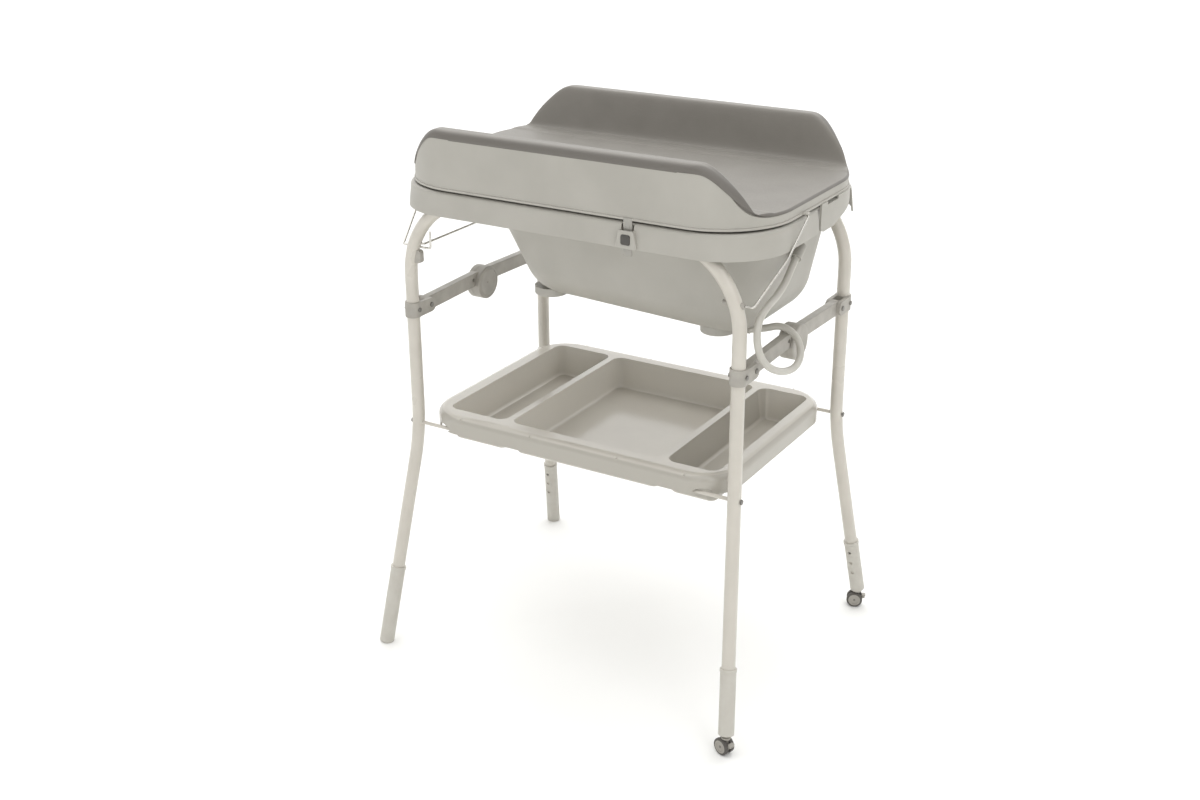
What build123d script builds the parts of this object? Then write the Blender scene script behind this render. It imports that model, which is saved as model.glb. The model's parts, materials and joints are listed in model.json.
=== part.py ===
from build123d import *
import math
import os

# A folding stand for changing and bathing a baby: two tube frames held apart by
# folding side braces carry a utility tray, a bath and a padded changing board.
# Millimetres, +Z up, +X to the user's right, the user stands on the -Y side.
# The origin is on the floor at the middle of the stand.

# Tube frames
tube_radius = 12.5
tube_wall = 1.4
leg_x = 347.0
leg_y = 227.0
top_tube_z = 934.0
top_bend_radius = 158.0
knee_z = 448.0
knee_bend_radius = 500.0
foot_x = 390.0
foot_y = 319.0
plain_tube_end_z = 24.0
caster_tube_end_z = 62.0

# Height sleeves on the leg ends
sleeve_radius = 14.7
sleeve_top_z = 164.0
sleeve_lip = 1.0
sleeve_lip_height = 6.0
sleeve_end_gap = 2.0
sleeve_fit = 0.05
plain_end_z = -2.0
caster_end_z = 41.0
height_hole_radius = 3.4
height_hole_pitch = 25.6
height_hole_count = 3
height_hole_drop = 24.0
leg_button_radius = 2.9
leg_button_length = 5.0

# Casters on the right-hand legs
wheel_radius = 16.5
hub_radius = 12.5
wheel_width = 8.0
caster_web = 5.0
caster_gap = 0.5
caster_trail = 4.5
caster_stem_radius = 4.0
caster_stem_length = 10.0
caster_heading = 20.0
axle_radius = 2.5
brake_width = 11.0
brake_length = 7.4
brake_offset = 1.2
brake_top = 4.8
brake_thick = 2.4
brake_round = 2.0
brake_cheek = 5.2
brake_pivot_gap = 1.0
brake_pivot_rise = 5.0

# Tray rods and their screws
rod_radius = 3.5
rod_z = 469.0
rod_screw_radius = 1.95
rod_screw_head = 5.0
rod_screw_seat = 0.7

# Side braces
clamp_z = 704.0
clamp_height = 30.0
clamp_wall = 3.2
fork_gap = 16.4
brace_pivot_offset = 38.0
hub_z = 695.5
brace_rise = 13.5
brace_height = 28.0
brace_play = 0.3
brace_boss_radius = 14.0
brace_pin_radius = 3.0
open_pivot_gap = 0.8
screw_radius = 2.5
running_fit = 0.05
hub_disc_radius = 33.5
hub_disc_gap = 1.8
hub_inner_depth = 18.0
hub_outer_depth = 14.0
hub_pin_radius = 4.0
hub_rivet_radius = 5.5
lock_button_radius = 28.0
lock_button_thickness = 5.5
lock_button_well = 10.5
dish_depth = 1.6
lock_hole_radius = 4.0
lock_hole_offset = 38.0

# Stay wires
wire_radius = 2.0
stay_z = 831.0
stay_inner_x = 298.0
stay_tail = 33.0
stay_end_x = 312.0
stay_elbow_left_x = 362.0
stay_elbow_right_x = 371.0
stay_mid_x = 388.5
stay_mid_y = -137.0
stay_mid_z = 893.0
stay_outer_x = 393.0
stay_bush_radius = 5.5
stay_bush_length = 10.0
stay_stop_z = 812.0
stay_stop_height = 25.0
stay_hook_y = -66.0
stay_hook_z = 953.0
stay_hook_length = 4.6
stay_hook_bend = 4.0
stay_tab_reach = 11.5
stay_tab_width = 12.0
stay_bend = 5.0
stay_mid_bend = 40.0
frame_stay_x = 313.5
frame_stay_z = 838.0
frame_stay_gap = 2.0
frame_stay_hook = 30.0

# Utility tray
tray_x = 328.0
tray_y = 238.0
tray_corner = 78.0
tray_rim_low_z = 465.0
tray_rim_top_z = 502.0
tray_rib_places = (-240.0, -80.0, 110.0, 250.0)
tray_skin = 2.6
tray_roll = 15.0
tray_basin_y = 203.0
tray_basin_left = -291.0
tray_basin_right = 299.0
tray_divider_left = -152.0
tray_divider_right = 187.0
tray_divider_width = 14.0
tray_floor_z = 438.0
tray_basin_taper = 7.0
tray_rest = 0.2

# Bath
rim_x = 387.0
rim_y = 252.0
rim_corner = 125.0
skirt_low_z = 905.0
rim_top_z = 950.0
bath_wall = 3.0
skirt_draft = 7.0
rim_edge_round = 7.0
tub_left = -241.0
tub_right = 362.0
tub_y = 198.0
tub_corner = 112.0
tub_floor_z = 727.0
tub_floor_left = -152.0
tub_floor_right = 325.0
tub_floor_y = 140.0
tub_floor_corner = 85.0
tub_floor_round = 78.0
tub_floor_tilt = 2.6
drain_seat_proud = 1.0
bath_foot_radius = 32.0
bath_foot_right_z = 722.0
bath_foot_left_z = 735.0
bath_foot_left_x = -120.0
bath_foot_right_x = 236.0
bath_foot_y = 87.0
bath_foot_root = 24.0
saddle_x = 200.0
saddle_width = 26.0
saddle_gap = 0.3
ear_front_y = 8.0
ear_rear_y = 160.0
ear_notch_gap = 11.0
ear_gap = 0.6

# Drain and hose
drain_x = 244.0
drain_y = -36.0
drain_radius = 12.0
drain_flange = 17.0
drain_nozzle_z = 716.0
drain_nozzle_end_x = 276.0
drain_nut = 7.5
hose_radius = 6.5
plug_radius = 15.0
clip_ring_radius = 9.5
clip_height = 30.0

# Latch at the front of the rim
latch_x = 140.0
latch_low_z = 905.0
latch_top_z = 937.0
latch_low_width = 44.0
latch_top_width = 30.0
latch_proud = 3.5
latch_plate = 2.6
latch_flange = 1.2
latch_button_size = 18.0
latch_button_z = 921.0
latch_button_proud = 1.6
latch_button_gap = 0.3
latch_slot_depth = 26.0
catch_width = 17.0
catch_thickness = 1.6
catch_low_z = 890.0
catch_slot = 25.0

# Changing board
board_x = 381.0
board_y = 246.0
board_corner = 138.0
board_low_z = 954.0
board_floor_z = 959.0
board_wall = 3.0
board_side_z = 971.0
board_wall_z = 1048.0
board_high_x = 268.0
board_drop_x = 376.0
board_rib = 2.4
board_rib_pitch_x = 120.0
board_rib_pitch_y = 140.0
board_rib_inset = 33.0
board_bead = 2.2
board_bead_height = 4.0
ear_low_z = 902.0
ear_thickness = 4.0
ear_slot_length = 48.0
ear_slot_height = 6.0
hinge_y = 259.0
hinge_z = 951.0
hinge_x = 170.0
hinge_barrel = 6.5
hinge_pin_radius = 2.5
hinge_leaf = 26.0
hinge_gap = 0.4

# Pad
pad_gap = 0.4
pad_thickness = 17.0
pad_roll_height = 82.6
pad_high_x = 263.0
pad_drop_x = 380.0
pad_side_z = 985.0
pad_overhang = 1.0
pad_roll_width = 34.0
pad_roll_lean = 16.0
pad_flat_z = board_floor_z + board_wall + pad_gap + pad_thickness
pad_top_z = pad_flat_z + pad_roll_height
pad_crease_round = 26.0
pad_top_round = 15.0


def leg_splay():
    """Horizontal direction of the splay and its angle from the vertical."""
    out_x = foot_x - leg_x
    out_y = foot_y - leg_y
    run = math.hypot(out_x, out_y)
    return out_x / run, out_y / run, math.atan2(run, knee_z)


def leg_centre(z):
    """Distance of a leg's centre from the middle planes at height z."""
    dir_x, dir_y, angle = leg_splay()
    tangent = knee_bend_radius * math.tan(angle / 2)
    bend_top = knee_z + tangent
    bend_low = knee_z - tangent * math.cos(angle)
    top_bend_z = top_tube_z - top_bend_radius
    if z > top_bend_z:
        rise = z - top_bend_z
        return leg_x - top_bend_radius + math.sqrt(top_bend_radius**2 - rise**2), leg_y
    if z >= bend_top:
        offset = 0.0
    elif z > bend_low:
        turn = math.asin((bend_top - z) / knee_bend_radius)
        offset = knee_bend_radius * (1 - math.cos(turn))
    else:
        offset = (knee_z - z) * math.tan(angle)
    return leg_x + dir_x * offset, leg_y + dir_y * offset


def leg_plane(z, side_x, side_y):
    """Plane across a leg's lower end at height z, with its normal up the leg."""
    x, y = leg_centre(z)
    up = Vector(side_x * (leg_x - foot_x), side_y * (leg_y - foot_y), knee_z)
    inward = Vector(0, -side_y, 0)
    across = inward - up * (inward.dot(up) / up.dot(up))
    return Plane(origin=(side_x * x, side_y * y, z), x_dir=across, z_dir=up)


def rod_along_x(radius, x_from, x_to, y, z):
    """Round bar parallel to X."""
    middle = (x_from + x_to) / 2
    return Pos(middle, y, z) * Rot(0, 90, 0) * Cylinder(radius, abs(x_to - x_from))


def round_wire(points, radii, radius):
    """Round wire along straight runs joined by arcs."""
    path = FilletPolyline(*points, radius=radii)
    return sweep(Plane(origin=path @ 0, z_dir=path % 0) * Circle(radius), path=path)


def rounded_plate(x_from, x_to, half_y, corner, z):
    """Flat rounded rectangle, centred on Y."""
    middle = (x_from + x_to) / 2
    return Pos(middle, 0, z) * RectangleRounded(x_to - x_from, 2 * half_y, corner)


def frame_path(side_y):
    """Centre line of one inverted U frame."""
    sides = []
    for side_x, end_z in ((-1, plain_tube_end_z), (1, caster_tube_end_z)):
        end_x, end_y = leg_centre(end_z)
        leg = [(end_x, end_y, end_z), (leg_x, leg_y, knee_z), (leg_x, leg_y, top_tube_z)]
        sides.append([(side_x * x, side_y * y, z) for x, y, z in leg])
    left, right = sides
    bends = [knee_bend_radius, top_bend_radius, top_bend_radius, knee_bend_radius]
    return FilletPolyline(*left, *reversed(right), radius=bends)


def frame_form(side_y, radius):
    """Solid round bar along the centre line of a frame."""
    path = frame_path(side_y)
    start = Plane(origin=path @ 0, z_dir=path % 0)
    return sweep(start * Circle(radius), path=path)


def frame_tube(side_y):
    """Inverted U of steel tube, splayed below the knee."""
    tube = frame_form(side_y, tube_radius) - frame_form(side_y, tube_radius - tube_wall)
    rod_x, rod_y = leg_centre(rod_z)
    reach = rod_x + 2 * tube_radius
    tube -= rod_along_x(rod_screw_radius + 0.1, -reach, reach, side_y * rod_y, rod_z)
    tube -= rod_along_x(rod_radius + running_fit, -rod_x, rod_x, side_y * rod_y, rod_z)
    reach = leg_x + 2 * tube_radius
    tube -= rod_along_x(screw_radius, -reach, reach, side_y * leg_y, clamp_z)
    for side_x in (-1, 1):
        face = leg_plane(leg_button_z(), side_x, side_y)
        hole = Cylinder(leg_button_radius + running_fit, tube_radius)
        tube -= face * Rot(0, 90, 0) * Pos(0, 0, tube_radius) * hole
    if side_y < 0:
        reach = leg_centre(stay_z)[0] + 2 * tube_radius
        tube -= rod_along_x(wire_radius + running_fit, -reach, reach, -leg_y, stay_z)
        tube -= frame_stay_hole()
    return tube


def leg_button_z():
    """Height of the snap button in the leg, level with the sleeve's first hole."""
    return sleeve_top_z - height_hole_drop * math.cos(leg_splay()[2])


def frame_stay_hole():
    """Hole in the left front leg's inner wall for the frame stay's end."""
    inner_x = leg_centre(frame_stay_z)[0]
    return rod_along_x(wire_radius, -inner_x, -frame_stay_x, -leg_y, frame_stay_z)


def tray_rod(side_y):
    """Steel rod between two legs that carries the tray."""
    rod_x, rod_y = leg_centre(rod_z)
    end_x = rod_x + tube_radius - tube_wall - 1.0
    rod = rod_along_x(rod_radius, -end_x, end_x, side_y * rod_y, rod_z)
    for side_x in (-1, 1):
        depth = side_x * (end_x - 10)
        rod -= rod_along_x(
            rod_screw_radius + running_fit, depth, side_x * end_x, side_y * rod_y, rod_z
        )
    return rod


def rod_screws(side_y):
    """Screws through the legs into the rod's two ends."""
    rod_x, rod_y = leg_centre(rod_z)
    seat = rod_x + tube_radius
    screws = []
    for side_x in (-1, 1):
        shank = rod_along_x(
            rod_screw_radius, side_x * (seat - 10), side_x * (seat + 1), side_y * rod_y, rod_z
        )
        near = seat + rod_screw_seat
        head = rod_along_x(
            rod_screw_head, side_x * near, side_x * (near + 2.6), side_y * rod_y, rod_z
        )
        head = fillet(head.edges().group_by(Axis.X)[-1 if side_x > 0 else 0], 1.4)
        screws.append(shank + head)
    return screws


def clamp_width():
    """Width of a clamp's fork, flush with its collar."""
    return 2 * (tube_radius + clamp_wall)


def clamp(side_x, side_y):
    """Collar round a leg with a fork that holds a brace."""
    width = clamp_width()
    reach = brace_pivot_offset
    collar = Cylinder(width / 2, clamp_height)
    profile = Pos(reach / 2, 0) * Rectangle(reach, clamp_height - 2)
    profile += Pos(reach, 0) * Circle(clamp_height / 2 - 1)
    cheeks = extrude(Plane.YZ * profile, amount=width / 2, both=True)
    slot_from = tube_radius + 2.0
    slot_length = reach + clamp_height
    slot = Pos(0, slot_from + slot_length / 2, 0) * Box(fork_gap, slot_length, 2 * clamp_height)
    collar = fillet(collar.edges().filter_by(GeomType.CIRCLE), 0.8)
    body = collar + cheeks - slot - Cylinder(tube_radius, 2 * clamp_height)
    body -= rod_along_x(brace_pin_radius, -width, width, reach, 0)
    body -= rod_along_x(screw_radius, -width, width, 0, 0)
    turn = 0 if side_y < 0 else 180
    return Pos(side_x * leg_x, side_y * leg_y, clamp_z) * Rot(0, 0, turn) * body


def headed_pin(radius, head_radius, width, x, y, z):
    """Pin along X with a domed head on each side."""
    pin = rod_along_x(radius, -width / 2, width / 2, 0, 0)
    for side in (-1, 1):
        head = rod_along_x(head_radius, side * width / 2, side * (width / 2 + 2.4), 0, 0)
        head = fillet(head.edges().group_by(Axis.X)[-1 if side > 0 else 0], 1.2)
        pin += head
    return Pos(x, y, z) * pin


def fork_pins(side_y, radius, head_radius, offset):
    """One pin through the fork of each clamp on a frame."""
    width = clamp_width()
    y = side_y * (leg_y - offset)
    return [headed_pin(radius, head_radius, width, s * leg_x, y, clamp_z) for s in (-1, 1)]


def brace_bar(side_y, half_width):
    """Bar of a brace half, level with the clamp's pin and rising to the hub's top."""
    far_y = leg_y - brace_pivot_offset
    fall = clamp_z - hub_z - brace_rise
    bar = Box(2 * half_width, math.hypot(far_y, fall), brace_height)
    bar = fillet(bar.edges().filter_by(Axis.Y), 1.5)
    tilt = math.degrees(math.atan2(fall, far_y))
    return Pos(0, side_y * far_y / 2, brace_rise + fall / 2) * Rot(side_y * tilt, 0, 0) * bar


def brace_half(side_x, side_y):
    """Half of a side brace; the front half lies inside and holds the lock button."""
    inner = side_y < 0
    towards = -1 if inner else 1
    depth = hub_inner_depth if inner else hub_outer_depth
    half_gap = fork_gap / 2 - brace_play
    pivot_y = side_y * (leg_y - brace_pivot_offset)
    pivot_z = clamp_z - hub_z
    bar = brace_bar(side_y, half_gap)
    bar += rod_along_x(brace_boss_radius, -half_gap, half_gap, pivot_y, pivot_z)
    lap = towards * brace_play
    bar -= rod_along_x(hub_disc_radius + hub_disc_gap, -towards * fork_gap, lap, 0, 0)
    disc = rod_along_x(hub_disc_radius, lap, towards * depth, 0, 0)
    disc = fillet(disc.edges().group_by(Axis.X)[-1 if towards > 0 else 0], 3.0)
    body = bar + disc
    is_open_pivot = side_x > 0 and not inner
    pin_gap = open_pivot_gap if is_open_pivot else running_fit
    body -= rod_along_x(brace_pin_radius + pin_gap, -fork_gap, fork_gap, pivot_y, pivot_z)
    body -= rod_along_x(hub_pin_radius + running_fit, -depth, depth, 0, 0)
    if inner:
        body -= rod_along_x(lock_hole_radius, -depth, depth, -lock_hole_offset, brace_rise)
        body -= rod_along_x(lock_button_radius + brace_play, -depth, lock_button_well - depth, 0, 0)
    else:
        body -= Pos(depth, 0, 0) * dish(lock_button_radius)
        body -= rod_along_x(hub_rivet_radius, depth - dish_depth, depth, 0, 0)
    body = Pos(leg_x, 0, hub_z) * body
    return body if side_x > 0 else mirror(body, Plane.YZ)


def dish(radius):
    """Shallow spherical cap, centred on the origin and facing along X."""
    ball_radius = (radius**2 + dish_depth**2) / (2 * dish_depth)
    return Pos(ball_radius - dish_depth, 0, 0) * Sphere(ball_radius)


def hub_pin(side_x):
    """Rivet on which the two halves of a brace turn."""
    floor = lock_button_well - hub_inner_depth
    face = hub_outer_depth - dish_depth
    pin = rod_along_x(hub_pin_radius, floor, face, 0, 0)
    pin += rod_along_x(hub_pin_radius + 3.0, floor - 1.5, floor, 0, 0)
    cap = rod_along_x(hub_rivet_radius, face, face + 1.6, 0, 0)
    pin += fillet(cap.edges().group_by(Axis.X)[-1], 1.0)
    pin = Pos(leg_x, 0, hub_z) * pin
    return pin if side_x > 0 else mirror(pin, Plane.YZ)


def lock_button(side_x):
    """Dished button in the inner face of a brace's hub."""
    face = -hub_inner_depth
    cap = rod_along_x(lock_button_radius, face, face + lock_button_thickness, 0, 0)
    cap = fillet(cap.edges().group_by(Axis.X)[0], 1.0)
    cap -= Pos(face, 0, 0) * Rot(0, 0, 180) * dish(lock_button_radius - 4.0)
    cap += rod_along_x(2.2, face + 0.4, face + dish_depth + 0.4, 0, 0)
    cap = Pos(leg_x, 0, hub_z) * cap
    return cap if side_x > 0 else mirror(cap, Plane.YZ)


def stay_wire(side_x):
    """Wire through a front leg that hooks under the edge of the board."""
    elbow_x = stay_elbow_left_x if side_x < 0 else stay_elbow_right_x
    points = [
        (elbow_x, -leg_y, stay_z),
        (stay_mid_x, stay_mid_y, stay_mid_z),
        (stay_outer_x, stay_hook_y, stay_hook_z),
        (stay_outer_x - stay_hook_length, stay_hook_y, stay_hook_z),
    ]
    radii = [stay_bend, stay_mid_bend, stay_hook_bend]
    if side_x < 0:
        tail = [(stay_inner_x, -leg_y, stay_z + stay_tail), (stay_inner_x, -leg_y, stay_z)]
        radii = [stay_bend] + radii
    else:
        tail = [(stay_end_x, -leg_y, stay_z)]
    points = [(side_x * x, y, z) for x, y, z in tail + points]
    return round_wire(points, radii, wire_radius)


def stay_bushes():
    """Bushes in the right front leg for the stay wire, and a stop on the left one."""
    tube = frame_form(-1, tube_radius)
    face_x = leg_centre(stay_z)[0]
    outer_end = face_x + tube_radius + stay_bush_length / 2
    inner_end = stay_end_x + wire_radius
    bore = wire_radius + running_fit
    bushes = []
    for near, far in ((inner_end, face_x), (face_x, outer_end)):
        bush = rod_along_x(stay_bush_radius, near, far, -leg_y, stay_z)
        bush -= rod_along_x(bore, near, far, -leg_y, stay_z)
        bushes.append(bush - tube)
    stop_x = leg_centre(stay_stop_z)[0] - tube_radius
    stop = Box(4 * stay_bush_radius, 2 * stay_bush_radius, stay_stop_height)
    stop = fillet(stop.edges().filter_by(Axis.Y), stay_bush_radius)
    slot = Cylinder(stay_bush_radius / 2, stay_bush_length)
    stop -= Pos(-stay_bush_radius, 0, stay_stop_height / 2) * slot
    bushes.append(Pos(-stop_x, -leg_y, stay_stop_z) * stop - tube)
    return bushes


def frame_stay_wire():
    """Wire from the left front leg that hooks behind the left rear leg."""
    behind = leg_y + tube_radius + wire_radius + frame_stay_gap
    anchor_x = leg_centre(frame_stay_z)[0]
    points = [
        (-anchor_x, -leg_y, frame_stay_z),
        (-frame_stay_x, -leg_y, frame_stay_z),
        (-frame_stay_x, behind, frame_stay_z),
        (-frame_stay_x - frame_stay_hook, behind, frame_stay_z),
    ]
    return round_wire(points, [stay_bend, stay_bend], wire_radius)


def sleeve(side_x, side_y):
    """Plastic sleeve on a leg's end; the right-hand ones take a caster."""
    on_caster = side_x > 0
    end_z = caster_end_z if on_caster else plain_end_z
    tube_end = caster_tube_end_z if on_caster else plain_tube_end_z
    slope = math.cos(leg_splay()[2])
    length = (sleeve_top_z - end_z) / slope
    bore_length = (sleeve_top_z - tube_end) / slope + sleeve_end_gap
    body = Pos(0, 0, length / 2) * Cylinder(sleeve_radius, length)
    body = fillet(body.edges().group_by(Axis.Z)[0], 1.5 if on_caster else 5.0)
    lip_z = length - sleeve_lip_height / 2
    lip = Pos(0, 0, lip_z) * Cylinder(sleeve_radius + sleeve_lip, sleeve_lip_height)
    body += fillet(lip.edges().filter_by(GeomType.CIRCLE), 0.9)
    bore = Cylinder(tube_radius + sleeve_fit, bore_length)
    body -= Pos(0, 0, length - bore_length / 2) * bore
    for step in range(height_hole_count):
        hole_z = length - height_hole_drop - step * height_hole_pitch
        hole = Cylinder(height_hole_radius, sleeve_radius)
        body -= Pos(tube_radius, 0, hole_z) * Rot(0, 90, 0) * hole
    body = leg_plane(end_z, side_x, side_y).location * body
    if on_caster:
        return body - caster_stem_hole(side_y)
    floor_cut = Pos(side_x * foot_x, side_y * foot_y, -sleeve_radius) * Box(
        4 * sleeve_radius, 4 * sleeve_radius, 2 * sleeve_radius
    )
    return body - floor_cut


def leg_button(side_x, side_y):
    """Snap button in a leg's end, seen in the sleeve's first hole."""
    middle = tube_radius - leg_button_length / 2
    button = Pos(middle, 0, 0) * Rot(0, 90, 0) * Cylinder(leg_button_radius, leg_button_length + 1)
    button &= Cylinder(tube_radius, 4 * leg_button_radius)
    return leg_plane(leg_button_z(), side_x, side_y).location * button


def caster_axis(side_y):
    """Swivel axis of a caster, at the sleeve's end."""
    x, y = leg_centre(caster_end_z)
    return x, side_y * y


def caster_stem_hole(side_y):
    """Upright hole for the caster's stem in the sleeve's end."""
    x, y = caster_axis(side_y)
    depth = 2 * (caster_stem_length + running_fit)
    hole = Cylinder(caster_stem_radius + running_fit, 2 * depth)
    return Pos(x, y, caster_end_z - depth / 2) * hole


def caster_frame(side_y):
    """Wheel centre's location; local X points to the brake, local Y along the axle."""
    x, y = caster_axis(side_y)
    heading = side_y * caster_heading
    reach = Vector(-caster_trail, 0, 0).rotate(Axis.Z, heading)
    return Pos(x + reach.X, y + reach.Y, wheel_radius) * Rot(0, 0, heading)


def axle_along_y(radius, y_from, y_to):
    """Round bar along local Y."""
    middle = (y_from + y_to) / 2
    return Pos(0, middle, 0) * Rot(90, 0, 0) * Cylinder(radius, abs(y_to - y_from))


def caster_fork(side_y):
    """Swivelling stem and web between the two wheels."""
    crown_low = wheel_radius + 1.2
    crown_top = caster_end_z - wheel_radius - sleeve_radius * math.sin(leg_splay()[2]) - 0.4
    outline = Circle(2.6 * axle_radius)
    neck = Polygon(
        (caster_trail - 7, crown_top), (caster_trail + 7, crown_top), (6, 0), (-6, 0), align=None
    )
    pivot_x, pivot_z = brake_pivot()
    arm = Polygon(
        (-4, 3), (pivot_x, pivot_z + 3), (pivot_x, pivot_z - 3), (0, -3), align=None
    )
    web = extrude(Plane.XZ * (outline + neck + arm), amount=caster_web / 2, both=True)
    crown = Pos(caster_trail, 0, (crown_low + crown_top) / 2) * Cylinder(9, crown_top - crown_low)
    stem_top = caster_end_z + caster_stem_length - wheel_radius
    stem = Pos(caster_trail, 0, (crown_low + stem_top) / 2) * Cylinder(
        caster_stem_radius, stem_top - crown_low
    )
    ear = Pos(pivot_x, 0, pivot_z) * axle_along_y(3.0, -caster_web / 2, caster_web / 2)
    fork = web + crown + stem + ear
    fork -= axle_along_y(axle_radius + running_fit, -caster_web, caster_web)
    fork -= Pos(pivot_x, 0, pivot_z) * axle_along_y(1.2, -caster_web, caster_web)
    return caster_frame(side_y) * fork


def brake_pivot():
    """Place of the brake's pivot beyond the wheel, in the caster's own X and Z."""
    return wheel_radius + brake_pivot_gap, brake_pivot_rise


def caster_hubs(side_y):
    """Wheel centres, one on each side of the web."""
    inner = caster_web / 2 + caster_gap
    hubs = []
    for side in (-1, 1):
        hub = axle_along_y(hub_radius, side * inner, side * (inner + wheel_width))
        hub -= axle_along_y(
            hub_radius - 3, side * (inner + wheel_width - 1.2), side * (inner + wheel_width)
        )
        hub -= axle_along_y(axle_radius, side * inner, side * (inner + wheel_width))
        hubs.append(caster_frame(side_y) * hub)
    return hubs


def caster_tyres(side_y):
    """Soft treads on the wheel centres."""
    inner = caster_web / 2 + caster_gap
    tyres = []
    for side in (-1, 1):
        tyre = axle_along_y(wheel_radius, side * inner, side * (inner + wheel_width))
        tyre = fillet(tyre.edges().filter_by(GeomType.CIRCLE), 2.0)
        tyre -= axle_along_y(hub_radius, side * inner, side * (inner + wheel_width))
        tyres.append(caster_frame(side_y) * tyre)
    return tyres


def caster_axle(side_y):
    """Axle of a caster, fixed in the two hubs."""
    end = caster_web / 2 + caster_gap + wheel_width - 0.6
    return caster_frame(side_y) * axle_along_y(axle_radius, -end, end)


def caster_brake(side_y):
    """Foot lever hinged on the web, with a pad over each tyre."""
    lever = Pos(brake_offset, 0, brake_top) * Box(brake_length, brake_width, brake_thick)
    lever = fillet(lever.edges().filter_by(Axis.Z), brake_round)
    for side in (-1, 1):
        inner = caster_web / 2 + 0.3
        cheek = Pos(0, side * (inner + brake_width / 2) / 2, 0)
        plate = Box(brake_cheek, brake_width / 2 - inner, brake_cheek)
        lever += cheek * Pos(brake_offset, 0, brake_top - brake_cheek / 2) * plate
    lever += axle_along_y(1.15, -brake_width / 2, brake_width / 2)
    pivot_x, pivot_z = brake_pivot()
    return caster_frame(side_y) * Pos(pivot_x, 0, pivot_z) * lever


def tray_basin(x_from, x_to, inset, floor_z):
    """Tapered pocket of the tray, as a solid."""
    depth = tray_rim_top_z - floor_z
    half_y = tray_basin_y + inset
    mouth = rounded_plate(x_from - inset, x_to + inset, half_y, 20 + inset, tray_rim_top_z)
    pocket = extrude(mouth, amount=-depth, taper=tray_basin_taper)
    return fillet(pocket.edges().group_by(Axis.Z)[0], 7 + inset)


def tray_basin_spans():
    """Left and right wall of each compartment."""
    half = tray_divider_width / 2
    walls = [tray_basin_left, tray_divider_left, tray_divider_right, tray_basin_right]
    spans = []
    for index in range(3):
        low = walls[index] + (half if index > 0 else 0)
        high = walls[index + 1] - (half if index < 2 else 0)
        spans.append((low, high))
    return spans


def tray():
    """Moulded tray with a rolled rim and three compartments."""
    rim = rounded_plate(-tray_x, tray_x, tray_y, tray_corner, tray_rim_low_z)
    rim_height = tray_rim_top_z - tray_rim_low_z
    shell = extrude(rim, amount=rim_height)
    shell = fillet(shell.edges().group_by(Axis.Z)[-1], tray_roll)
    inner_x = tray_x - tray_skin
    inner_rim = rounded_plate(
        -inner_x, inner_x, tray_y - tray_skin, tray_corner - tray_skin, tray_rim_low_z
    )
    hollow = extrude(inner_rim, amount=rim_height - tray_skin)
    hollow = fillet(hollow.edges().group_by(Axis.Z)[-1], tray_roll - tray_skin)
    shell -= hollow
    rest_z = rod_z + rod_radius + tray_rest
    for x in tray_rib_places:
        for side_y in (-1, 1):
            height = tray_rim_top_z - tray_skin - rest_z
            rib_middle = side_y * (tray_y + tray_basin_y) / 2
            rib_width = tray_y - tray_basin_y
            rib = Box(tray_skin, rib_width - 6, height)
            shell += Pos(x, rib_middle, rest_z + height / 2) * rib
    for low, high in tray_basin_spans():
        shell += tray_basin(low, high, tray_skin, tray_floor_z - tray_skin)
    for low, high in tray_basin_spans():
        shell -= tray_basin(low, high, 0, tray_floor_z)
    return shell - rod_notches(leg_centre(rod_z)[1])


def rod_notches(rod_y):
    """Scoops in the rim's corners where the tray rods pass."""
    scoop = rod_radius + 4.5
    notches = []
    for side_x in (-1, 1):
        for side_y in (-1, 1):
            low = side_x * (tray_x - 0.8 * tray_corner)
            notch = rod_along_x(scoop, low, side_x * (tray_x + 5), side_y * rod_y, rod_z + 1)
            notches.append(notch)
    return notches


def tub_solid(inset):
    """Tapered tub, drawn in from its outer form by the inset."""
    mouth = rounded_plate(
        tub_left + inset, tub_right - inset, tub_y - inset, tub_corner - inset, rim_top_z
    )
    floor = rounded_plate(
        tub_floor_left + inset,
        tub_floor_right - inset,
        tub_floor_y - inset,
        tub_floor_corner - inset,
        tub_floor_z + inset,
    )
    low = Pos(drain_x, 0, tub_floor_z + inset)
    floor = low * Rot(0, tub_floor_tilt, 0) * low.inverse() * floor
    solid = loft([floor, mouth], ruled=True)
    return fillet(solid.faces().sort_by(Axis.Z)[0].edges(), tub_floor_round - inset)


def bath_shell():
    """Bath with a rolled rim, a deep skirt and saddles over the top tubes."""
    height = rim_top_z - skirt_low_z
    shell = rim_form()
    inner_x = rim_x - bath_wall
    under = rounded_plate(
        -inner_x, inner_x, rim_y - bath_wall, rim_corner - bath_wall, skirt_low_z
    )
    under = extrude(under, amount=height - bath_wall, taper=skirt_draft)
    shell -= fillet(under.edges().group_by(Axis.Z)[-1], rim_edge_round - bath_wall)
    for side_x in (-1, 1):
        for side_y in (-1, 1):
            shell += saddle(side_x, side_y)
    shell += tub_solid(0)
    shell -= tub_solid(bath_wall)
    shell += drain_seat()
    shell -= ear_notches()
    shell -= Pos(drain_x, drain_y, tub_floor_z) * Cylinder(drain_radius + 1.0, 20)
    shell -= latch_window()
    shell += bath_hinge_leaves()
    return shell


def drain_seat():
    """Level seat for the waste fitting in the sloping floor of the tub."""
    height = bath_wall + 2 * drain_seat_proud
    seat = Cylinder(drain_flange + 1.0, height)
    return Pos(drain_x, drain_y, tub_floor_z - drain_seat_proud + height / 2) * seat


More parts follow.
